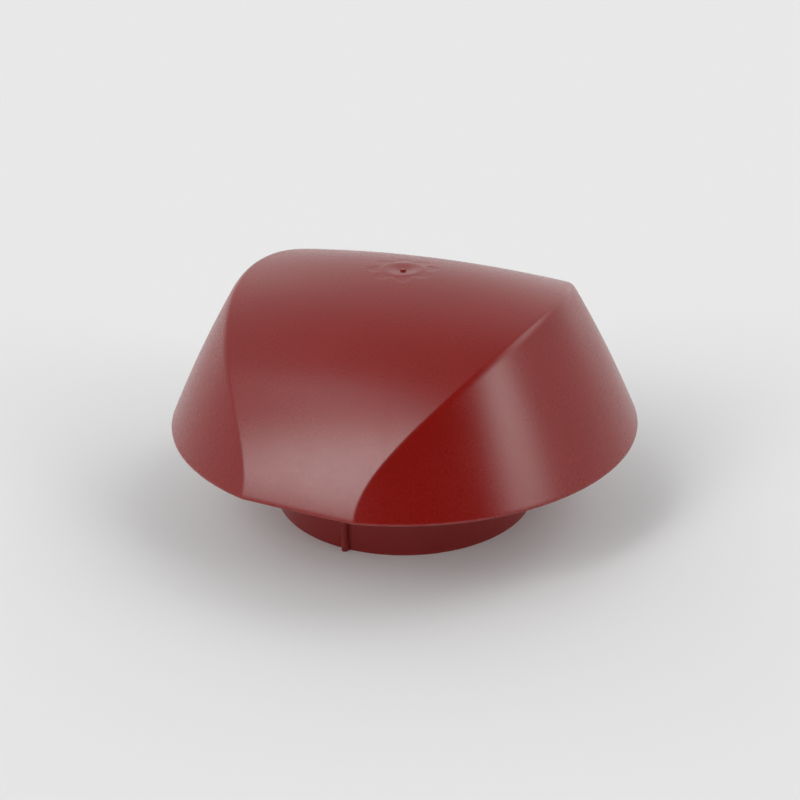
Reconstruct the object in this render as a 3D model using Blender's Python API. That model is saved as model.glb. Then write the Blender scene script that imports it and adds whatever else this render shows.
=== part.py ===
"""Roof vent cap: a moulded hood that keeps the rain out of a vent pipe, and the collar that carries it.

Metres, +Z up. The origin is on the axis, level with the collar's lower edge. The hood's ridge runs along X,
and its two curved panels come down to straight edges at -Y and +Y.
"""

import math

import bmesh
import bpy
from mathutils import Matrix, Vector

MM = 0.001

# The pipe, and the collar that pushes over it
PIPE_DIAMETER = 110 * MM
PIPE_CLEARANCE = 0.5 * MM
COLLAR_WALL = 3.0 * MM
SOCKET_DEPTH = 46 * MM
LEAD_IN = 0.8 * MM
STOP_WIDTH = 3.0 * MM
STOP_THICKNESS = 2.5 * MM

# The rib down the outside of the collar, under the middle of each panel
RIB_WIDTH = 3.0 * MM
RIB_HEIGHT = 2.4 * MM

# The arms over the bore, and the hollow post on them
ARM_COUNT = 4
ARM_THICKNESS = 2.5 * MM
ARM_HEIGHT = 9.0 * MM
ARM_SETBACK = 0.5 * MM
POST_WALL = 2.5 * MM

# The hood
RIM_HEIGHT = 39.8 * MM
HOOD_RADIUS = 102.5 * MM
HOOD_WALL = 2.5 * MM
SKIRT_LEAN = math.radians(24.4)
SKIRT_ARC_RADIUS = 530 * MM
RIDGE_RISE = 65.3 * MM
RIDGE_ARC_RADIUS = 600 * MM
PANEL_INSET = 2.6 * MM
CREASE_ROUNDING = 4.0 * MM
LEAST_ROUNDING = 0.3 * MM
RIM_ROUNDING = 0.9 * MM

# The round dish in the middle of the crown, and the stub of the cut sprue that stands in it
DISH_RADIUS = 8.0 * MM
DISH_DEPTH = 1.3 * MM
STUB_RADIUS = 1.2 * MM
STUB_HEIGHT = 1.2 * MM

# The sleeve under the crown that the post fits in
SLEEVE_BORE_RADIUS = 12.5 * MM
SLEEVE_WALL = 2.5 * MM
SLEEVE_LENGTH = 15 * MM
FIT_GAP = 0.3 * MM

# How finely the round shapes are divided
HOOD_COLUMNS = 80
DISH_ROWS = 3
PANEL_ROWS = 11
CREASE_ROWS = 4
SKIRT_ROWS = 3
RIM_ROWS = 3
STUB_SIDES = 12
COLLAR_SIDES = 72
POST_SIDES = 32
RIB_SIDES = 8
LOWEST_BAND = 6 * MM
SMOOTH_ANGLE = math.radians(30)
SLOPE_STEP = 0.1 * MM
WELD_DISTANCE = 0.01 * MM
HALVINGS = 40

# Worked out from the sizes above
BORE_RADIUS = PIPE_DIAMETER / 2 + PIPE_CLEARANCE
COLLAR_RADIUS = BORE_RADIUS + COLLAR_WALL
ARM_BOTTOM = SOCKET_DEPTH + ARM_SETBACK
COLLAR_TOP = ARM_BOTTOM + ARM_HEIGHT + ARM_SETBACK
PANEL_REACH = HOOD_RADIUS - PANEL_INSET
PANEL_ARC_RADIUS = (RIDGE_RISE**2 + PANEL_REACH**2) / (2 * RIDGE_RISE)
SLEEVE_RADIUS = SLEEVE_BORE_RADIUS + SLEEVE_WALL
POST_RADIUS = SLEEVE_BORE_RADIUS - FIT_GAP

RED_PLASTIC = (0.235, 0.032, 0.025, 1.0)


def arc_drop(distance, radius):
    """How far an arc falls over this distance from its top; its widest point is its lowest."""
    reach = min(abs(distance), radius)
    return radius - math.sqrt(radius**2 - reach**2)


def panel_height(x, y, depth):
    """The barrel-shaped crown, or the surface that lies this deep under it."""
    top = RIM_HEIGHT + RIDGE_RISE - depth
    return top - arc_drop(x, RIDGE_ARC_RADIUS - depth) - arc_drop(y, PANEL_ARC_RADIUS - depth)


def skirt_height(radius, depth):
    """The gently bulging cone, or the surface that lies this deep under it."""
    centre_radius = HOOD_RADIUS - SKIRT_ARC_RADIUS * math.cos(SKIRT_LEAN)
    centre_height = RIM_HEIGHT - SKIRT_ARC_RADIUS * math.sin(SKIRT_LEAN)
    across = radius - centre_radius
    return centre_height + math.sqrt((SKIRT_ARC_RADIUS - depth) ** 2 - across**2)


def hood_height(x, y, depth):
    """The lower of crown and skirt, with the crease between them rounded."""
    radius = math.hypot(x, y)
    panel = panel_height(x, y, depth)
    skirt = skirt_height(radius, depth)
    fall_x = panel - panel_height(x + SLOPE_STEP, y, depth)
    fall_y = panel - panel_height(x, y + SLOPE_STEP, depth)
    fall_out = skirt - skirt_height(radius + SLOPE_STEP, depth)
    panel_normal = Vector((fall_x, fall_y, SLOPE_STEP)) / SLOPE_STEP
    skirt_normal = Vector((x, y, 0)).normalized() * fall_out / SLOPE_STEP + Vector((0, 0, 1))
    turn = panel_normal.angle(skirt_normal)
    rounding = max(CREASE_ROUNDING - depth, LEAST_ROUNDING)
    blend = (panel_normal - skirt_normal).length * rounding * math.tan(turn / 2)
    overlap = max(blend - abs(panel - skirt), 0)
    lowered = overlap**2 / (4 * blend) if overlap else 0
    return min(panel, skirt) - lowered


def dish_depth(radius):
    """How deep the dish is here: one smooth wave from its middle to its edge."""
    share = min(radius / DISH_RADIUS, 1)
    return DISH_DEPTH * (1 + math.cos(math.pi * share)) / 2


def crossing(height_of, low, high):
    """Where this falling height passes zero between low and high."""
    for _ in range(HALVINGS):
        middle = (low + high) / 2
        if height_of(middle) > 0:
            low = middle
        else:
            high = middle
    return (low + high) / 2


def straight_edge_angle():
    """Half the angle that the straight lower edge of a panel spans, seen from the axis."""

    def below_rim(angle):
        x = HOOD_RADIUS * math.sin(angle)
        y = HOOD_RADIUS * math.cos(angle)
        return RIM_HEIGHT - panel_height(x, y, 0)

    return crossing(below_rim, 0, math.pi / 2)


def column_azimuth(even_azimuth, corner):
    """Moves evenly spread columns a little, so that one meets each end of the straight edges."""
    from_panel = abs(math.remainder(even_azimuth - math.pi / 2, math.pi))
    spacing = 2 * math.pi / HOOD_COLUMNS
    meets = max(round(corner / spacing), 1) * spacing
    if from_panel <= meets:
        moved = from_panel * corner / meets
    else:
        moved = corner + (from_panel - meets) * (math.pi / 2 - corner) / (math.pi / 2 - meets)
    side = math.copysign(1, math.sin(even_azimuth))
    hand = math.copysign(1, math.cos(even_azimuth))
    return math.atan2(side * math.cos(moved), hand * math.sin(moved))


def column_radii(azimuth, depth):
    """The radius of every ring of the hood along this column, from the centre to the rim."""
    c, s = math.cos(azimuth), math.sin(azimuth)
    edge = crossing(lambda r: hood_height(r * c, r * s, depth) - RIM_HEIGHT, 0, HOOD_RADIUS)
    crease = crossing(lambda r: skirt_height(r, depth) - panel_height(r * c, r * s, depth), 0, HOOD_RADIUS)
    fold = min(crease, edge - LOWEST_BAND)
    spread = min(CREASE_ROUNDING / 2, (edge - fold) / 2)
    radii = [DISH_RADIUS * i / DISH_ROWS for i in range(DISH_ROWS + 1)]
    crown_end = fold - spread
    steepest = math.asin(PANEL_REACH / PANEL_ARC_RADIUS)
    shares = [math.sin(steepest * i / PANEL_ROWS) / math.sin(steepest) for i in range(1, PANEL_ROWS + 1)]
    radii += [DISH_RADIUS + (crown_end - DISH_RADIUS) * share for share in shares]
    radii += [crown_end + 2 * spread * i / CREASE_ROWS for i in range(1, CREASE_ROWS + 1)]
    skirt_start = fold + spread
    radii += [skirt_start + (edge - skirt_start) * i / SKIRT_ROWS for i in range(1, SKIRT_ROWS + 1)]
    return radii


def hood_surface(bm, depth):
    """Spins a flat disc and lifts its rings on to the hood; returns the edges of its outer ring.

    At depth 0 it is the outer surface, facing up. Any other depth gives an inner one, facing down.
    """
    rings = len(column_radii(0, depth))
    spoke = [bm.verts.new((ring, 0, 0)) for ring in range(rings)]
    edges = [bm.edges.new(pair) for pair in zip(spoke, spoke[1:])]
    before = set(bm.verts) - set(spoke)
    bmesh.ops.spin(
        bm, geom=spoke + edges, cent=(0, 0, 0), axis=(0, 0, 1), angle=2 * math.pi,
        steps=HOOD_COLUMNS, use_merge=True, use_duplicate=False,
    )
    disc = [v for v in bm.verts if v not in before]
    bmesh.ops.remove_doubles(bm, verts=disc, dist=WELD_DISTANCE)
    disc = [v for v in bm.verts if v not in before]
    corner = straight_edge_angle()
    radii_of = {}
    outer = set()
    for v in disc:
        ring = round(v.co.length)
        azimuth = column_azimuth(math.atan2(v.co.y, v.co.x), corner)
        key = round(azimuth, 6)
        if key not in radii_of:
            radii_of[key] = column_radii(azimuth, depth)
        radius = radii_of[key][ring]
        x, y = radius * math.cos(azimuth), radius * math.sin(azimuth)
        dish = dish_depth(radius) if depth == 0 else 0
        v.co = (x, y, hood_height(x, y, depth) - dish)
        if ring == rings - 1:
            v.co.z = RIM_HEIGHT
            outer.add(v)
    if depth > 0:
        bmesh.ops.reverse_faces(bm, faces=list({face for v in disc for face in v.link_faces}))
    return [e for e in bm.edges if e.verts[0] in outer and e.verts[1] in outer]


def new_object(name, bm):
    """Turns a bmesh into a smooth-shaded object with its material."""
    bmesh.ops.recalc_face_normals(bm, faces=bm.faces)
    mesh = bpy.data.meshes.new(name)
    bm.to_mesh(mesh)
    bm.free()
    mesh.shade_smooth()
    mesh.set_sharp_from_angle(angle=SMOOTH_ANGLE)
    obj = bpy.data.objects.new(name, mesh)
    bpy.context.scene.collection.objects.link(obj)
    return obj


def turned(name, profile, sides):
    """A ring made by turning a closed outline of (radius, height) points about the axis."""
    bm = bmesh.new()
    corners = [bm.verts.new((radius, 0, height)) for radius, height in profile]
    edges = [bm.edges.new(pair) for pair in zip(corners, corners[1:] + corners[:1])]
    bmesh.ops.spin(
        bm, geom=corners + edges, cent=(0, 0, 0), axis=(0, 0, 1), angle=2 * math.pi,
        steps=sides, use_merge=True, use_duplicate=False,
    )
    return new_object(name, bm)


def upright(name, outline, bottom, top, azimuth):
    """A block made by raising a flat outline of (outward, sideways) points, turned to its azimuth."""
    bm = bmesh.new()
    face = bm.faces.new([bm.verts.new((out, side, bottom)) for out, side in outline])
    raised = bmesh.ops.extrude_face_region(bm, geom=[face])["geom"]
    tops = [item for item in raised if isinstance(item, bmesh.types.BMVert)]
    bmesh.ops.translate(bm, vec=(0, 0, top - bottom), verts=tops)
    bmesh.ops.rotate(bm, cent=(0, 0, 0), matrix=Matrix.Rotation(azimuth, 3, "Z"), verts=bm.verts)
    return new_object(name, bm)


def join(body, helper):
    """Fuses a helper shape with the body and keeps the helper out of renders."""
    union = body.modifiers.new(helper.name, "BOOLEAN")
    union.operation = "UNION"
    union.solver = "EXACT"
    union.object = helper
    helper.hide_render = True
    helper.display_type = "WIRE"


def hood():
    """The thin cover: two surfaces joined at the rim, with a sleeve under the crown and a stub on it."""
    bm = bmesh.new()
    outer = hood_surface(bm, 0)
    inner = hood_surface(bm, HOOD_WALL)
    bmesh.ops.bridge_loops(bm, edges=outer + inner)
    opening = math.pi / 2 - SKIRT_LEAN
    setback = RIM_ROUNDING / math.tan(opening / 2)
    bmesh.ops.bevel(
        bm, geom=outer, offset=setback, offset_type="OFFSET", segments=RIM_ROWS, profile=0.5,
        affect="EDGES", material=-1,
    )
    shell = new_object("hood", bm)
    sleeve_top = hood_height(0, SLEEVE_RADIUS, HOOD_WALL / 4)
    sleeve_bottom = hood_height(0, 0, HOOD_WALL) - SLEEVE_LENGTH
    sleeve = turned("sleeve", [
        (SLEEVE_BORE_RADIUS, sleeve_bottom),
        (SLEEVE_RADIUS, sleeve_bottom),
        (SLEEVE_RADIUS, sleeve_top),
        (SLEEVE_BORE_RADIUS, sleeve_top),
    ], POST_SIDES)
    join(shell, sleeve)
    dish_floor = hood_height(0, 0, 0) - DISH_DEPTH
    turns = [2 * math.pi * i / STUB_SIDES for i in range(STUB_SIDES)]
    outline = [(STUB_RADIUS * math.cos(turn), STUB_RADIUS * math.sin(turn)) for turn in turns]
    stub_root = dish_floor - (HOOD_WALL - DISH_DEPTH) / 2
    join(shell, upright("stub", outline, stub_root, dish_floor + STUB_HEIGHT, 0))
    return shell


def rib(name, azimuth):
    """A rib with a half-round nose, down the whole outside of the collar."""
    nose = RIB_WIDTH / 2
    nose_centre = COLLAR_RADIUS + RIB_HEIGHT - nose
    root = COLLAR_RADIUS - COLLAR_WALL / 2
    turns = [math.pi * (i / RIB_SIDES - 0.5) for i in range(RIB_SIDES + 1)]
    outline = [(root, -nose)]
    outline += [(nose_centre + nose * math.cos(turn), nose * math.sin(turn)) for turn in turns]
    outline += [(root, nose)]
    return upright(name, outline, 0, COLLAR_TOP - ARM_SETBACK, azimuth)


def collar():
    """The socket for the pipe, with its stop, its ribs, and the arms and post that carry the hood."""
    tube = turned("collar", [
        (COLLAR_RADIUS, 0),
        (COLLAR_RADIUS, COLLAR_TOP),
        (BORE_RADIUS, COLLAR_TOP),
        (BORE_RADIUS, SOCKET_DEPTH + STOP_THICKNESS),
        (BORE_RADIUS - STOP_WIDTH, SOCKET_DEPTH + STOP_THICKNESS),
        (BORE_RADIUS - STOP_WIDTH, SOCKET_DEPTH),
        (BORE_RADIUS, SOCKET_DEPTH),
        (BORE_RADIUS, LEAD_IN),
        (BORE_RADIUS + LEAD_IN, 0),
    ], COLLAR_SIDES)
    post_top = hood_height(0, POST_RADIUS, HOOD_WALL) - FIT_GAP
    post = turned("post", [
        (POST_RADIUS, ARM_BOTTOM - ARM_SETBACK),
        (POST_RADIUS, post_top),
        (POST_RADIUS - POST_WALL, post_top),
        (POST_RADIUS - POST_WALL, ARM_BOTTOM - ARM_SETBACK),
    ], POST_SIDES)
    join(tube, post)
    inner_end = POST_RADIUS - POST_WALL / 2
    outer_end = COLLAR_RADIUS - COLLAR_WALL / 2
    half = ARM_THICKNESS / 2
    arm_outline = [(inner_end, -half), (outer_end, -half), (outer_end, half), (inner_end, half)]
    for i in range(ARM_COUNT):
        azimuth = 2 * math.pi * i / ARM_COUNT
        join(tube, upright(f"arm_{i + 1}", arm_outline, ARM_BOTTOM, ARM_BOTTOM + ARM_HEIGHT, azimuth))
    for i, azimuth in enumerate((-math.pi / 2, math.pi / 2)):
        join(tube, rib(f"rib_{i + 1}", azimuth))
    return tube


def plastic(name, colour):
    """Through-coloured plastic with a fine matt grain."""
    material = bpy.data.materials.new(name)
    material.use_nodes = True
    shader = material.node_tree.nodes["Principled BSDF"]
    shader.inputs["Base Color"].default_value = colour
    shader.inputs["Metallic"].default_value = 0.0
    shader.inputs["Roughness"].default_value = 0.42
    return material


def main():
    for obj in list(bpy.data.objects):
        bpy.data.objects.remove(obj, do_unlink=True)
    for piece in (hood(), collar()):
        piece.data.materials.append(plastic(piece.name + "_plastic", RED_PLASTIC))


main()
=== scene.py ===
# %% [markdown]
# # A roof vent cap in moulded plastic
#
# The cap keeps the rain out of a vent pipe on a roof. It is two mouldings in brick-red plastic: a hood,
# which is a cone cut by a barrel-shaped crown, and a collar that pushes over the pipe and carries the hood
# on a post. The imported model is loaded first. It fixes every size, and each piece made below stands exactly
# where its solid stands, so nothing has to be fitted by eye.

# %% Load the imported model
import math

import bmesh
import bpy
from mathutils import Matrix, Quaternion, Vector


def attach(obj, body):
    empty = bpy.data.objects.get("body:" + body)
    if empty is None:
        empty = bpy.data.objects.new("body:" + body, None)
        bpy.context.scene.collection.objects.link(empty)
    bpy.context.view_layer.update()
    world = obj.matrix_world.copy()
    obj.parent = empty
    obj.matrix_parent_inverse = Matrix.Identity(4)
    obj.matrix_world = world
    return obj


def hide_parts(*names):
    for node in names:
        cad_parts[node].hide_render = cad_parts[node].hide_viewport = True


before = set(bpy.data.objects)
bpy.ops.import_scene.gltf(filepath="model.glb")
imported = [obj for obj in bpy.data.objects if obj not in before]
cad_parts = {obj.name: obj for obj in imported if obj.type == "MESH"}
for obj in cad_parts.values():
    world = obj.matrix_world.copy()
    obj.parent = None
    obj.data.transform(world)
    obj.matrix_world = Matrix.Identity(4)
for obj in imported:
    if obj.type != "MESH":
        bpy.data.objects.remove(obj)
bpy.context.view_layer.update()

MM = 0.001

# %% [markdown]
# ## The camera
#
# A photograph of a round object fixes its own camera: the ellipses of the rim and the collar give the
# height of the eye, and the way they taper gives the distance. The cap was taken from half a metre, 25
# degrees above it and 24 degrees to the right of the middle of the front panel, with a hair of roll. The
# aim point lies on the axis, and a small shift of the lens places the cap in the square frame.

# %% Camera
EYE = Vector((188.585, -417.627, 255.094)) * MM
AIM = Vector((0, 0, 40.48)) * MM
FRAME_PIXELS = 800
FOCAL_PIXELS = 1136.69
SENSOR_WIDTH = 36
ROLL = math.radians(-0.526)

camera = bpy.data.objects.new("camera", bpy.data.cameras.new("camera"))
camera.data.sensor_width = SENSOR_WIDTH
camera.data.lens = FOCAL_PIXELS / FRAME_PIXELS * SENSOR_WIDTH
camera.data.shift_x = -4.454 / FRAME_PIXELS
camera.data.shift_y = 7.115 / FRAME_PIXELS
camera.location = EYE
camera.rotation_mode = "QUATERNION"
camera.rotation_quaternion = (AIM - EYE).to_track_quat("-Z", "Y") @ Quaternion((0, 0, 1), ROLL)
bpy.context.scene.collection.objects.link(camera)
bpy.context.scene.camera = camera
print("camera: lens", round(camera.data.lens, 1), "mm, from", round((AIM - EYE).length, 3), "m")

# %% [markdown]
# ## The form of the hood
#
# The hood is thin and open below, so every point of it can be given by one height over the ground plan. Two
# surfaces make it: a cone with a slight belly, and a crown like the side of a large barrel, which lies
# along X. The hood is the lower of the two everywhere, and a fillet of constant radius rounds the crease
# between them. The inside follows the same rule at a depth of one wall.

# %% Sizes of the hood
RIM_HEIGHT = 39.8 * MM
HOOD_RADIUS = 102.5 * MM
HOOD_WALL = 2.5 * MM
SKIRT_LEAN = math.radians(24.4)
SKIRT_ARC_RADIUS = 530 * MM
RIDGE_RISE = 65.3 * MM
RIDGE_ARC_RADIUS = 600 * MM
PANEL_REACH = 99.9 * MM
PANEL_ARC_RADIUS = (RIDGE_RISE**2 + PANEL_REACH**2) / (2 * RIDGE_RISE)
CREASE_ROUNDING = 4.0 * MM
LEAST_ROUNDING = 0.3 * MM
SLOPE_STEP = 0.1 * MM


def arc_drop(distance, radius):
    """How far an arc falls over this distance from its top."""
    reach = min(abs(distance), radius)
    return radius - math.sqrt(radius**2 - reach**2)


def crown_height(x, y, depth):
    """The barrel-shaped crown, or the surface this deep under it."""
    top = RIM_HEIGHT + RIDGE_RISE - depth
    return top - arc_drop(x, RIDGE_ARC_RADIUS - depth) - arc_drop(y, PANEL_ARC_RADIUS - depth)


def skirt_height(radius, depth):
    """The cone with its slight belly, or the surface this deep under it."""
    centre_radius = HOOD_RADIUS - SKIRT_ARC_RADIUS * math.cos(SKIRT_LEAN)
    centre_height = RIM_HEIGHT - SKIRT_ARC_RADIUS * math.sin(SKIRT_LEAN)
    return centre_height + math.sqrt((SKIRT_ARC_RADIUS - depth) ** 2 - (radius - centre_radius) ** 2)


def crease_at(x, y, depth):
    """Crown, skirt, and how far apart in height they still blend."""
    radius = math.hypot(x, y)
    crown, skirt = crown_height(x, y, depth), skirt_height(radius, depth)
    fall_x = crown - crown_height(x + SLOPE_STEP, y, depth)
    fall_y = crown - crown_height(x, y + SLOPE_STEP, depth)
    fall_out = skirt - skirt_height(radius + SLOPE_STEP, depth)
    crown_normal = Vector((fall_x, fall_y, SLOPE_STEP)) / SLOPE_STEP
    skirt_normal = Vector((x, y, 0)).normalized() * fall_out / SLOPE_STEP + Vector((0, 0, 1))
    turn = crown_normal.angle(skirt_normal)
    rounding = max(CREASE_ROUNDING - depth, LEAST_ROUNDING)
    return crown, skirt, (crown_normal - skirt_normal).length * rounding * math.tan(turn / 2)


def hood_height(x, y, depth):
    """The lower of crown and skirt, with the crease between them rounded."""
    crown, skirt, blend = crease_at(x, y, depth)
    overlap = max(blend - abs(crown - skirt), 0)
    return min(crown, skirt) - (overlap**2 / (4 * blend) if overlap else 0)


def crossing(height_of, low, high):
    """Where this falling height passes zero between low and high."""
    for _ in range(40):
        middle = (low + high) / 2
        low, high = (middle, high) if height_of(middle) > 0 else (low, middle)
    return (low + high) / 2


corner_azimuth = crossing(
    lambda a: RIM_HEIGHT - crown_height(HOOD_RADIUS * math.sin(a), HOOD_RADIUS * math.cos(a), 0),
    0, math.pi / 2)
print("each straight edge spans", round(2 * math.degrees(corner_azimuth), 1), "degrees of the rim")

# %% [markdown]
# ## Marks of the mould on the crown
#
# The plastic entered the mould in the middle of the crown. There the real hood has a round dish, a
# millimetre deep, so that the stub of the cut sprue in it doesn't stick out. Round the dish lies a faint
# flower of eight lobes: the plastic sank a little over the sleeve and its small webs below, where the wall
# is thicker. The flower is less than two tenths of a millimetre deep, but it bends the reflections, so it
# is lowered into the surface too.

# %% Relief of the crown
DISH_RADIUS = 8.6 * MM
DISH_DEPTH = 1.15 * MM
LOBE_COUNT = 8
LOBE_RADIUS = 14 * MM
LOBE_REACH = 2.2 * MM
LOBE_EDGE = 2.2 * MM
LOBE_DEPTH = 0.17 * MM
LOBE_ROUNDNESS = 1.5
LOBE_START = DISH_RADIUS + 2 * MM


def soft_step(value, start, end):
    """Runs smoothly from 0 at start to 1 at end."""
    share = min(max((value - start) / (end - start), 0), 1)
    return share * share * (3 - 2 * share)


def crown_relief(radius, azimuth):
    """How much lower than the plain crown the surface lies here."""
    dish = DISH_DEPTH * (1 - soft_step(radius, 0, DISH_RADIUS))
    petals = abs(math.cos(LOBE_COUNT / 2 * (azimuth - math.pi / LOBE_COUNT))) ** LOBE_ROUNDNESS
    edge = LOBE_RADIUS - LOBE_REACH + 2 * LOBE_REACH * petals
    sink = LOBE_DEPTH * (1 - soft_step(radius, edge - LOBE_EDGE, edge))
    return dish + sink * soft_step(radius, DISH_RADIUS, LOBE_START)


# %% [markdown]
# ## Laying out the mesh
#
# A spoke is spun into a flat disc of rings and columns, and every point is then lifted on to the form. The
# mesh is only as fine as the form asks. Columns crowd at the four corners of the rim, where the crease runs
# down almost along them, and rings crowd in the crease, in the dish and over the lobes.

# %% Rings and columns
COLUMNS_PER_CORNER = 36
COLUMNS_PER_STRAIGHT = 72
COLUMNS_PER_ROUND = 44
CORNER_REACH = math.radians(5.5)
RIM_BAND = 1.0 * MM
STUB_RADIUS = 1.2 * MM
STUB_RINGS = 3
DISH_RINGS = 14
FLOWER_REACH = 22 * MM
FLOWER_RINGS = 18
CROWN_RINGS = 40
CREASE_RINGS = 14
SKIRT_RINGS = 12
LOWEST_BAND = 6 * MM
LEAST_CREASE_RADIUS = 30 * MM
CROWDING = 1.15


def spread(start, end, count):
    """Even steps from start to end, without the start."""
    return [start + (end - start) * i / count for i in range(1, count + 1)]


def hood_azimuths():
    """The azimuth of every column, round the whole hood."""
    found = []
    for middle in (math.pi / 2, 3 * math.pi / 2):
        straight, past = corner_azimuth - CORNER_REACH, corner_azimuth + CORNER_REACH
        found += spread(middle - straight, middle + straight, COLUMNS_PER_STRAIGHT)
        found += spread(middle + straight, middle + past, COLUMNS_PER_CORNER)
        found += spread(middle + past, middle + math.pi - past, COLUMNS_PER_ROUND)
        found += spread(middle + math.pi - past, middle + math.pi - straight, COLUMNS_PER_CORNER)
    return found


def outer_radii(azimuth):
    """Where each ring of the outer surface crosses this column."""
    c, s = math.cos(azimuth), math.sin(azimuth)
    edge = crossing(lambda r: hood_height(r * c, r * s, 0) - RIM_HEIGHT, 0, HOOD_RADIUS)

    def past_blend(r, side):
        crown, skirt, blend = crease_at(r * c, r * s, 0)
        return skirt - crown + side * blend

    crease_start = min(
        crossing(lambda r: past_blend(r, -1), LEAST_CREASE_RADIUS, HOOD_RADIUS), edge - LOWEST_BAND)
    crease_end = min(
        crossing(lambda r: past_blend(r, 1), LEAST_CREASE_RADIUS, HOOD_RADIUS), edge - LOWEST_BAND * 0.6)
    crease_end = max(crease_end, crease_start + 1 * MM)
    shares = [math.sin(CROWDING * share) / math.sin(CROWDING) for share in spread(0, 1, CROWN_RINGS)]
    radii = [0] + spread(0, STUB_RADIUS, STUB_RINGS) + spread(STUB_RADIUS, DISH_RADIUS, DISH_RINGS)
    radii += spread(DISH_RADIUS, FLOWER_REACH, FLOWER_RINGS)
    radii += [FLOWER_REACH + (crease_start - FLOWER_REACH) * share for share in shares]
    radii += spread(crease_start, crease_end, CREASE_RINGS)
    radii += spread(crease_end, edge - RIM_BAND, SKIRT_RINGS)
    return radii + [edge]


SLEEVE_BORE_RADIUS = 12.5 * MM
SLEEVE_BORE_RINGS = 4
SLEEVE_RADIUS = 15 * MM
FOLD_BAND = 1.5 * MM


def inner_radii(azimuth):
    """Where each ring of the inner surface crosses this column."""
    c, s = math.cos(azimuth), math.sin(azimuth)
    edge = crossing(lambda r: hood_height(r * c, r * s, HOOD_WALL) - RIM_HEIGHT, 0, HOOD_RADIUS)
    fold = crossing(
        lambda r: skirt_height(r, HOOD_WALL) - crown_height(r * c, r * s, HOOD_WALL),
        LEAST_CREASE_RADIUS, HOOD_RADIUS)
    fold = min(fold, edge - LOWEST_BAND)
    radii = [0] + spread(0, SLEEVE_BORE_RADIUS, SLEEVE_BORE_RINGS) + [SLEEVE_RADIUS]
    radii += spread(SLEEVE_RADIUS, fold - FOLD_BAND, 16) + spread(fold - FOLD_BAND, fold + FOLD_BAND, 4)
    return radii + spread(fold + FOLD_BAND, edge, 4)


columns = hood_azimuths()
print(len(columns), "columns,", len(outer_radii(0)), "rings outside and", len(inner_radii(0)), "inside")

# %% [markdown]
# ## Helpers for bmesh
#
# A bmesh is built up from a few points with the same tools as in the editor. These helpers hold what every
# piece needs: spinning an outline, rounding edges, and turning the result into an object. The object stays
# at the origin, unturned, so that patterns in its material keep their true scale and place.

# %% Bmesh helpers
WELD = 0.002 * MM
SHARP_ANGLE = math.radians(40)


def spun(bm, points, closed, steps):
    """Spins an outline of (radius, height) points all the way round the axis."""
    corners = [bm.verts.new((radius, 0, height)) for radius, height in points]
    ends = corners[1:] + corners[:1] if closed else corners[1:]
    edges = [bm.edges.new(pair) for pair in zip(corners, ends)]
    bmesh.ops.spin(
        bm, geom=corners + edges, cent=(0, 0, 0), axis=(0, 0, 1), angle=2 * math.pi,
        steps=steps, use_merge=True, use_duplicate=False)


def rounded(bm, edges, offset, segments=3):
    """Rounds these edges."""
    bmesh.ops.bevel(
        bm, geom=edges, offset=offset, offset_type="OFFSET", segments=segments, profile=0.5,
        affect="EDGES", material=-1)


def finished(name, bm, node):
    """Makes the object of a piece, which rides on the root and stands for its solid."""
    mesh = bpy.data.meshes.new(name)
    bm.to_mesh(mesh)
    bm.free()
    mesh.shade_smooth()
    mesh.set_sharp_from_angle(angle=SHARP_ANGLE)
    piece = bpy.data.objects.new(name, mesh)
    bpy.context.scene.collection.objects.link(piece)
    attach(piece, "root")
    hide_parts(node)
    triangles = sum(len(face.vertices) - 2 for face in mesh.polygons)
    print(name, triangles, "triangles")
    return piece


# %% [markdown]
# ## The hood
#
# Two discs are spun and lifted: the outer surface, with its relief, and the inner one, one wall lower and
# turned face down. A bridge between their outer rings closes the rim. The rim of the real hood is a little
# rounded outside and crisp inside. The sleeve that fits over the collar's post is drawn out of the inner
# surface: the ring of faces over it is extruded straight down. The stub of the sprue is drawn up out of the
# dish the same way, and its end slants a little, as the cutter leaves it.

# %% Hood
RIM_ROUNDING = 0.95 * MM
INNER_RIM_ROUNDING = 0.25 * MM
SLEEVE_LENGTH = 15 * MM
STUB_HEIGHT = 0.85 * MM
STUB_SLANT = math.radians(1)
SLEEVE_LIP_ROUNDING = 0.4 * MM
STUB_LIP_ROUNDING = 0.12 * MM


def lifted_disc(bm, depth, radii_at):
    """Spins a flat disc, lifts it on to the hood at this depth, and returns its rings of points."""
    rings = len(radii_at(0))
    before = set(bm.verts)
    spun(bm, [(ring, 0) for ring in range(rings)], False, len(columns))
    disc = [v for v in bm.verts if v not in before]
    bmesh.ops.remove_doubles(bm, verts=[v for v in disc if v.co.length < 0.5], dist=0.1)
    disc = [v for v in bm.verts if v not in before]
    radii = [radii_at(azimuth) for azimuth in columns]
    found = [[] for _ in range(rings)]
    for v in disc:
        ring = round(v.co.length)
        turn = math.atan2(v.co.y, v.co.x) / (2 * math.pi)
        column = round(turn * len(columns)) % len(columns)
        azimuth, radius = columns[column], radii[column][ring]
        x, y = radius * math.cos(azimuth), radius * math.sin(azimuth)
        relief = crown_relief(radius, azimuth) if depth == 0 else 0
        v.co = (x, y, hood_height(x, y, depth) - relief)
        if ring == rings - 1:
            v.co.z = RIM_HEIGHT
        found[ring].append(v)
    return found


def ring_edges(bm, ring):
    """The edges between the points of one ring."""
    points = set(ring)
    return [e for e in bm.edges if e.verts[0] in points and e.verts[1] in points]


bm = bmesh.new()
outer_rings = lifted_disc(bm, 0, outer_radii)
bmesh.ops.recalc_face_normals(bm, faces=bm.faces)
outer_faces = set(bm.faces)
inner_rings = lifted_disc(bm, HOOD_WALL, inner_radii)
inner_faces = [f for f in bm.faces if f not in outer_faces]
bmesh.ops.recalc_face_normals(bm, faces=inner_faces)
bmesh.ops.reverse_faces(bm, faces=inner_faces)

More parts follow.
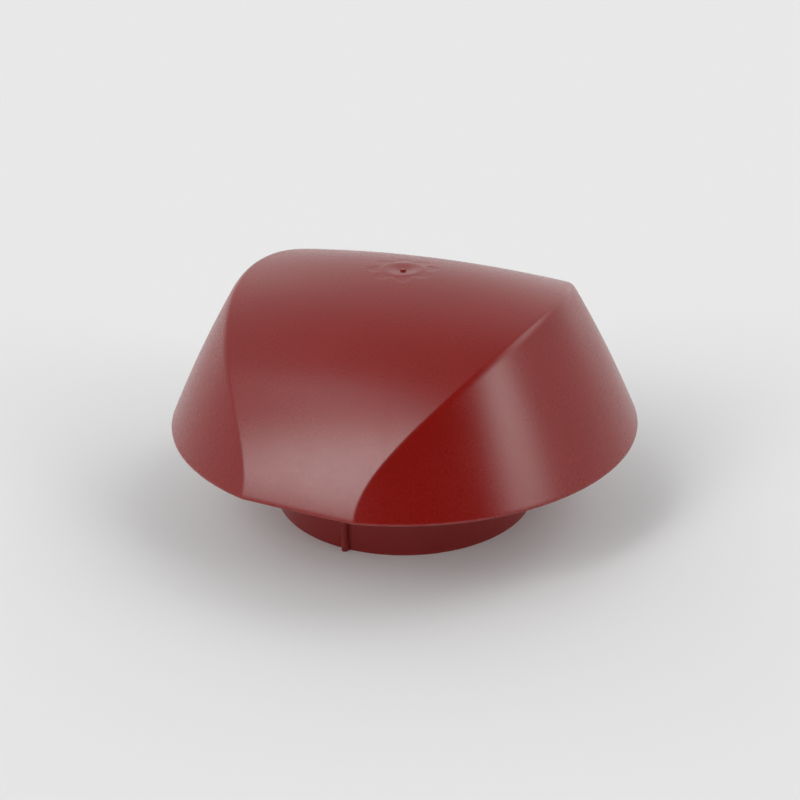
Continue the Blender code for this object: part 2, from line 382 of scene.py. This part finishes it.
ring_of = {v: i for i, ring in enumerate(inner_rings) for v in ring}
sleeve_rings = {SLEEVE_BORE_RINGS, SLEEVE_BORE_RINGS + 1}
sleeve_faces = [f for f in inner_faces if {ring_of[v] for v in f.verts} == sleeve_rings]
drawn = bmesh.ops.extrude_face_region(bm, geom=sleeve_faces)["geom"]
bmesh.ops.delete(bm, geom=sleeve_faces, context="FACES_ONLY")
sleeve_bottom = hood_height(0, 0, HOOD_WALL) - SLEEVE_LENGTH
sleeve_end = [item for item in drawn if isinstance(item, bmesh.types.BMVert)]
for v in sleeve_end:
    v.co.z = sleeve_bottom
end_points = set(sleeve_end)
lips = [e for e in bm.edges if e.verts[0] in end_points and e.verts[1] in end_points
        and abs(e.verts[0].co.xy.length - e.verts[1].co.xy.length) < WELD]

outer_ring_of = {v: i for i, ring in enumerate(outer_rings) for v in ring}
stub_faces = [f for f in outer_faces if all(outer_ring_of[v] <= STUB_RINGS for v in f.verts)]
stub = bmesh.ops.extrude_face_region(bm, geom=stub_faces)["geom"]
bmesh.ops.delete(bm, geom=stub_faces, context="FACES")
stub_end = [item for item in stub if isinstance(item, bmesh.types.BMVert)]
dish_floor = hood_height(0, 0, 0) - DISH_DEPTH
for v in stub_end:
    v.co.z = dish_floor + STUB_HEIGHT + v.co.y * math.tan(STUB_SLANT)
stub_points = set(stub_end)
stub_lip = [e for e in bm.edges if set(e.verts) <= stub_points
            and min(v.co.xy.length for v in e.verts) > 0.9 * STUB_RADIUS]

outer_edge, inner_edge = ring_edges(bm, outer_rings[-1]), ring_edges(bm, inner_rings[-1])
bmesh.ops.bridge_loops(bm, edges=outer_edge + inner_edge)
rounded(bm, lips, SLEEVE_LIP_ROUNDING, 2)
rounded(bm, stub_lip, STUB_LIP_ROUNDING, 2)
rounded(bm, inner_edge, INNER_RIM_ROUNDING, 2)
rounded(bm, outer_edge, RIM_ROUNDING / math.tan((math.pi / 2 - SKIRT_LEAN) / 2), 5)
bmesh.ops.recalc_face_normals(bm, faces=bm.faces)
hood = finished("vent_hood", bm, "hood")

# %% [markdown]
# ## The collar
#
# The collar pushes over the end of the pipe. It could be built as a tube with cuts, but it is turned
# instead: one outline of the wall, with the ledge that stops the pipe and the slope that leads it in, is
# spun about the axis. Its long edges are rounded in the outline, because a moulding has no knife edges.

# %% Collar
BORE_RADIUS = 55.5 * MM
COLLAR_RADIUS = 58.5 * MM
COLLAR_TOP = 56.0 * MM
SOCKET_DEPTH = 46 * MM
STOP_WIDTH = 3.0 * MM
STOP_THICKNESS = 2.5 * MM
LEAD_IN = 0.8 * MM
COLLAR_SIDES = 256
COLLAR_ROUNDING = 0.3 * MM


def rounded_outline(points, radius, segments=3):
    """A closed outline with all its corners rounded; gives (across, up) pairs."""
    flat = bmesh.new()
    corners = [flat.verts.new((across, 0, up)) for across, up in points]
    edges = [flat.edges.new(pair) for pair in zip(corners, corners[1:] + corners[:1])]
    bmesh.ops.bevel(
        flat, geom=corners + edges, offset=radius, offset_type="OFFSET", segments=segments, profile=0.5,
        affect="VERTICES", material=-1)
    start = flat.verts[:][0]
    path, last = [start], None
    while True:
        ahead = [e.other_vert(path[-1]) for e in path[-1].link_edges]
        step = next(v for v in ahead if v is not last)
        if step is start:
            break
        last = path[-1]
        path.append(step)
    found = [(v.co.x, v.co.z) for v in path]
    flat.free()
    return found


collar_bm = bmesh.new()
wall = rounded_outline([
    (COLLAR_RADIUS, 0),
    (COLLAR_RADIUS, COLLAR_TOP),
    (BORE_RADIUS, COLLAR_TOP),
    (BORE_RADIUS, SOCKET_DEPTH + STOP_THICKNESS),
    (BORE_RADIUS - STOP_WIDTH, SOCKET_DEPTH + STOP_THICKNESS),
    (BORE_RADIUS - STOP_WIDTH, SOCKET_DEPTH),
    (BORE_RADIUS, SOCKET_DEPTH),
    (BORE_RADIUS, LEAD_IN),
    (BORE_RADIUS + LEAD_IN, 0),
], COLLAR_ROUNDING)
spun(collar_bm, wall, True, COLLAR_SIDES)

# %% [markdown]
# ## The ribs
#
# A slim half-round rib runs up the front of the collar, and one like it is taken to stand at the back. It
# lines the collar up with the pipe. A rib is drawn up from its plan, with a small hollow fillet at each
# side of its root, so it grows out of the wall without a line. On the real cap it stands a hair off the
# middle of the panel.

# %% Ribs of the collar
RIB_WIDTH = 3.0 * MM
RIB_HEIGHT = 2.4 * MM
RIB_FILLET = 0.3 * MM
RIB_TURN = math.radians(-0.9)
RIB_TOP = 55.5 * MM
ROOT_DEPTH = 1.5 * MM


def drawn_up(bm, plan, bottom, top, azimuth, rounding):
    """Raises a closed plan of (outward, sideways) points, rounds its ends and turns it to its azimuth."""
    face = bm.faces.new([bm.verts.new((out, side, bottom)) for out, side in plan])
    raised = bmesh.ops.extrude_face_region(bm, geom=[face])["geom"]
    tops = [item for item in raised if isinstance(item, bmesh.types.BMVert)]
    bmesh.ops.translate(bm, vec=(0, 0, top - bottom), verts=tops)
    body = list(face.verts) + tops
    bmesh.ops.rotate(bm, cent=(0, 0, 0), matrix=Matrix.Rotation(azimuth, 3, "Z"), verts=body)
    bottoms = set(face.verts)
    ends = [e for e in bm.edges if set(e.verts) <= set(tops) or set(e.verts) <= bottoms]
    rounded(bm, ends, rounding, 2)


def rib_plan():
    """Half-round nose, straight sides, and a hollow fillet at each side of the root."""
    nose = RIB_WIDTH / 2
    centre = COLLAR_RADIUS + RIB_HEIGHT - nose
    side = [(centre + nose * math.cos(a), nose * math.sin(a)) for a in spread(0, math.pi / 2, 8)]
    root = COLLAR_RADIUS + RIB_FILLET
    for a in spread(0, math.pi / 2, 5):
        side.append((root - RIB_FILLET * math.sin(a), nose + RIB_FILLET * (1 - math.cos(a))))
    side.append((COLLAR_RADIUS - ROOT_DEPTH, nose + RIB_FILLET))
    return [(centre + nose, 0)] + side + [(out, -across) for out, across in reversed(side)]


for azimuth in (-math.pi / 2, math.pi / 2):
    drawn_up(collar_bm, rib_plan(), 0, RIB_TOP, azimuth + RIB_TURN, 0.2 * MM)

# %% [markdown]
# ## The post and its arms
#
# The hood's sleeve sits on a hollow post, and four arms join the post to the collar, so that air passes
# between them. All this is hidden, so it is plain: the post is spun like the wall, and each arm is one box
# drawn up from its plan. The arms run into the post and the wall, as they do in one moulding.

# %% Post and arms
POST_RADIUS = 12.2 * MM
POST_WALL = 2.5 * MM
ARM_BOTTOM = 46.5 * MM
ARM_HEIGHT = 9.0 * MM
ARM_THICKNESS = 2.5 * MM
ARM_COUNT = 4
POST_CLEARANCE = 0.3 * MM
POST_TOP = hood_height(0, POST_RADIUS, HOOD_WALL) - POST_CLEARANCE
POST_SIDES = 96

post = rounded_outline([
    (POST_RADIUS, SOCKET_DEPTH),
    (POST_RADIUS, POST_TOP),
    (POST_RADIUS - POST_WALL, POST_TOP),
    (POST_RADIUS - POST_WALL, SOCKET_DEPTH),
], 0.35 * MM)
spun(collar_bm, post, True, POST_SIDES)
bmesh.ops.remove_doubles(collar_bm, verts=collar_bm.verts, dist=WELD)
arm = [
    (POST_RADIUS - POST_WALL / 2, -ARM_THICKNESS / 2),
    (BORE_RADIUS + ROOT_DEPTH, -ARM_THICKNESS / 2),
    (BORE_RADIUS + ROOT_DEPTH, ARM_THICKNESS / 2),
    (POST_RADIUS - POST_WALL / 2, ARM_THICKNESS / 2),
]
for i in range(ARM_COUNT):
    turn = 2 * math.pi / ARM_COUNT * i
    drawn_up(collar_bm, arm, ARM_BOTTOM, ARM_BOTTOM + ARM_HEIGHT, turn, 0.3 * MM)
bmesh.ops.recalc_face_normals(collar_bm, faces=collar_bm.faces)
collar = finished("vent_collar", collar_bm, "collar")

# %% [markdown]
# ## A little language for shader sums
#
# Most of a plastic's look is arithmetic on a few noises. This class wraps a socket, so that a sum can be
# written as a sum, and its one method adds any other node.

# %% Shader sums
class Wire:
    """An output of a node. Sums on it add Math nodes to the same material."""

    def __init__(self, tree, socket=None):
        self.tree = tree
        self.socket = socket

    def node(self, kind, settings=None, inputs=None, output=0):
        """Adds a node: its type, its settings, then the values or wires of its sockets."""
        made = self.tree.nodes.new("ShaderNode" + kind)
        for name, value in (settings or {}).items():
            setattr(made, name, value)
        for name, value in (inputs or {}).items():
            if isinstance(value, Wire):
                self.tree.links.new(value.socket, made.inputs[name])
            else:
                made.inputs[name].default_value = value
        return Wire(self.tree, made.outputs[output] if made.outputs else None)

    def maths(self, operation, *values):
        """Adds a Math node that isn't a plain sum."""
        return self.node("Math", {"operation": operation}, dict(enumerate(values)))

    def __add__(self, other):
        return self.maths("ADD", self, other)

    def __sub__(self, other):
        return self.maths("SUBTRACT", self, other)

    def __rsub__(self, other):
        return self.maths("SUBTRACT", other, self)

    def __mul__(self, other):
        return self.maths("MULTIPLY", self, other)

    __radd__ = __add__
    __rmul__ = __mul__


# %% [markdown]
# ## The plastic
#
# The real mouldings are coloured through, and their mould was spark-eroded: a fine matt grain, close to a
# millimetre from grain to grain, that breaks every reflection into a soft sheen. So the gloss comes from a
# middling roughness, and the grain from a bump. The colour hardly varies, but the roughness does, slowly,
# as the mould was polished unevenly. A band along the lower edges is paler and duller, in patches: partly
# worn by handling, partly a painted reflection of the pale floor along the rim.

# %% Plastic material
GRAIN_HEIGHT = 0.02 * MM
TONE_SPREAD = 0.07
# The paler colour along the lower edge: partly worn plastic, partly a painted reflection of the pale floor.
PALE_EDGE_WORN_AND_REFLECTED = (0.33, 0.045, 0.036, 1)
WORN_AND_REFLECTION_BAND = 1.8 * MM
WORN_AND_REFLECTION_MIX = 0.45


def plastic(name, colour, roughness, grain, edge_height):
    """Matt moulded plastic, paler along the edge at this height: partly worn, partly a painted reflection."""
    material = bpy.data.materials.new(name)
    material.use_nodes = True
    material.node_tree.nodes.clear()
    start = Wire(material.node_tree)
    place = start.node("TexCoord", output=3)

    def noise(scale, detail):
        return start.node("TexNoise", None, {"Vector": place, "Scale": scale, "Detail": detail})

    mottle, fine, coarse = noise(45, 3), noise(1300, 2), noise(620, 2)
    tone = start.node("Mix", {"data_type": "RGBA"}, {
        0: mottle * 0.85 + coarse * 0.15,
        6: [c * (1 - TONE_SPREAD) for c in colour] + [1],
        7: [c * (1 + TONE_SPREAD) for c in colour] + [1],
    }, output=2)
    height = start.node("SeparateXYZ", None, {0: place}, output=2)
    # Mask of the pale band at the lower edge: partly worn patches, partly a painted reflection of the pale
    # floor.
    near_edge = start.node("MapRange", {"interpolation_type": "SMOOTHSTEP"}, {
        "Value": height, "From Min": edge_height, "From Max": edge_height + WORN_AND_REFLECTION_BAND,
        "To Min": 1, "To Max": 0})
    patchiness = start.node("MapRange", None, {"Value": noise(240, 3), "From Min": 0.42, "From Max": 0.64})
    worn_and_reflection_mask = near_edge * patchiness
    tone = start.node("Mix", {"data_type": "RGBA"}, {0: worn_and_reflection_mask * WORN_AND_REFLECTION_MIX, 6: tone, 7: PALE_EDGE_WORN_AND_REFLECTED}, output=2)
    gloss = (mottle - 0.5) * 0.08 + (coarse - 0.5) * 0.06 + worn_and_reflection_mask * 0.08 + roughness
    bump = start.node("Bump", None, {
        "Strength": grain, "Distance": GRAIN_HEIGHT, "Height": fine * 0.45 + coarse * 0.55})
    shader = start.node("BsdfPrincipled", None, {
        "Base Color": tone, "Roughness": gloss, "Normal": bump, "IOR": 1.5})
    start.node("OutputMaterial", None, {"Surface": shader})
    return material


# The hood's pale band starts at its lowest point: partly worn, partly a painted reflection of the floor.
hood_edge = min(v.co.z for v in hood.data.vertices)
hood.data.materials.append(plastic(
    "hood_plastic_matt", (0.211, 0.0055, 0.0034), roughness=0.275, grain=0.3, edge_height=hood_edge))
# The collar's colour is the hood's, painted a touch darker as painted shade for the shadow under the hood.
collar.data.materials.append(plastic(
    "collar_plastic_matt", (0.206, 0.0055, 0.0034), roughness=0.30, grain=0.3, edge_height=0))
print("hood's worn edge from", round(hood_edge / MM, 1), "mm up")

# %% [markdown]
# ## The floor
#
# The floor is a plain pale sheet, big enough to have no edge in the picture. It matters for the looks,
# because the lower half of the skirt mirrors it. Seen from below it is clear, so that the underside of the
# cap can be looked at as it stands.

# %% Floor
FLOOR_HALF_SIZE = 20
PALE_GREY = (0.8, 0.8, 0.8, 1)

floor_bm = bmesh.new()
bmesh.ops.create_grid(floor_bm, x_segments=1, y_segments=1, size=FLOOR_HALF_SIZE)
floor_mesh = bpy.data.meshes.new("floor")
floor_bm.to_mesh(floor_mesh)
floor_bm.free()
floor = bpy.data.objects.new("floor", floor_mesh)
bpy.context.scene.collection.objects.link(floor)
floor_material = bpy.data.materials.new("pale_floor")
floor_material.use_nodes = True
floor_material.node_tree.nodes.clear()
ground = Wire(floor_material.node_tree)
top_side = ground.node("BsdfDiffuse", None, {"Color": PALE_GREY})
under_side = ground.node("BsdfTransparent")
from_below = ground.node("NewGeometry", output=6)
sheet = ground.node("MixShader", None, {0: from_below, 1: top_side, 2: under_side})
ground.node("OutputMaterial", None, {"Surface": sheet})
floor_mesh.materials.append(floor_material)

# %% [markdown]
# ## The light
#
# The photograph tells its own light. The sheen on the front panel is the mirror image of a tall soft box on
# the left, and the streak on the right of the skirt that of a weaker one on the right. The deep red between
# them mirrors the dark room behind the camera, and the crown mirrors a plain white wall, which is brighter
# in its two far corners. All of this is far away and soft, so it is painted in the sky: a base for the
# walls, none at the camera's side, the two boxes, and a weaker field high up beside each, which carries the
# sheen further over the form. The camera itself sees a plain pale wall behind the floor, from whichever
# side it looks.

# %% Soft boxes in the sky
CAMERA_AZIMUTH = math.atan2(EYE.y, EYE.x)
WALL_LIGHT = 0.95
LEFT_BOX_LIGHT = 9.6
RIGHT_BOX_LIGHT = 5.3
HIGH_RIGHT_LIGHT = 2.2
HIGH_LEFT_LIGHT = 2.3

world = bpy.data.worlds.new("studio")
world.use_nodes = True
world.node_tree.nodes.clear()
sky = Wire(world.node_tree)
direction = sky.node("TexCoord", output=0)
up = sky.node("SeparateXYZ", None, {0: direction}, output=2)
turned_to_front = sky.node("VectorRotate", {"rotation_type": "Z_AXIS"}, {
    "Vector": direction, "Angle": -CAMERA_AZIMUTH})
azimuth = sky.maths(
    "ARCTAN2",
    sky.node("SeparateXYZ", None, {0: turned_to_front}, output=1),
    sky.node("SeparateXYZ", None, {0: turned_to_front}, output=0))


def fade(value, start, end):
    """Runs smoothly from 0 at start to 1 at end; start may be the larger."""
    low, high, first, last = (start, end, 0.0, 1.0) if start < end else (end, start, 1.0, 0.0)
    return sky.node("MapRange", {"interpolation_type": "SMOOTHSTEP"}, {
        "Value": value, "From Min": low, "From Max": high, "To Min": first, "To Max": last})


def field(centre, half_width, edge):
    """1 inside this range of azimuths, seen from the camera's side, in degrees; 0 outside."""
    away = sky.maths("ABSOLUTE", azimuth - math.radians(centre))
    return fade(away, math.radians(half_width + edge), math.radians(half_width - edge))


left_box = field(-52, 8, 9) * fade(up, 0.15, 0.4) * fade(up, 0.99, 0.7) * LEFT_BOX_LIGHT
right_box = field(58, 9, 6) * fade(up, 0.06, 0.28) * fade(up, 0.8, 0.5) * RIGHT_BOX_LIGHT
high_right = field(100, 24, 8) * fade(up, 0.5, 0.66) * fade(up, 0.95, 0.84) * HIGH_RIGHT_LIGHT
high_left = field(-78, 9, 10) * fade(up, 0.7, 0.82) * fade(up, 0.97, 0.88) * HIGH_LEFT_LIGHT

away = sky.maths("ABSOLUTE", azimuth)
past_side = fade(away, math.radians(112), math.radians(138))
before_back = fade(away, math.radians(178), math.radians(156))
far_corners = past_side * before_back
wall_tone = 0.5 + 0.5 * fade(up, 0.98, 0.8) + 0.6 * far_corners * fade(up, 0.8, 0.5)
dark_room = field(4, 40, 6)
walls = (1 - dark_room) * wall_tone * WALL_LIGHT
light = sky.node("Background", None, {"Strength": walls + left_box + right_box + high_right + high_left})
plain_wall = sky.node("Background", None, {"Strength": 1.0})
seen = sky.node("MixShader", None, {0: sky.node("LightPath"), 1: light, 2: plain_wall})
sky.node("OutputWorld", None, {"Surface": seen})
bpy.context.scene.world = world
bpy.context.scene.view_settings.view_transform = "Standard"
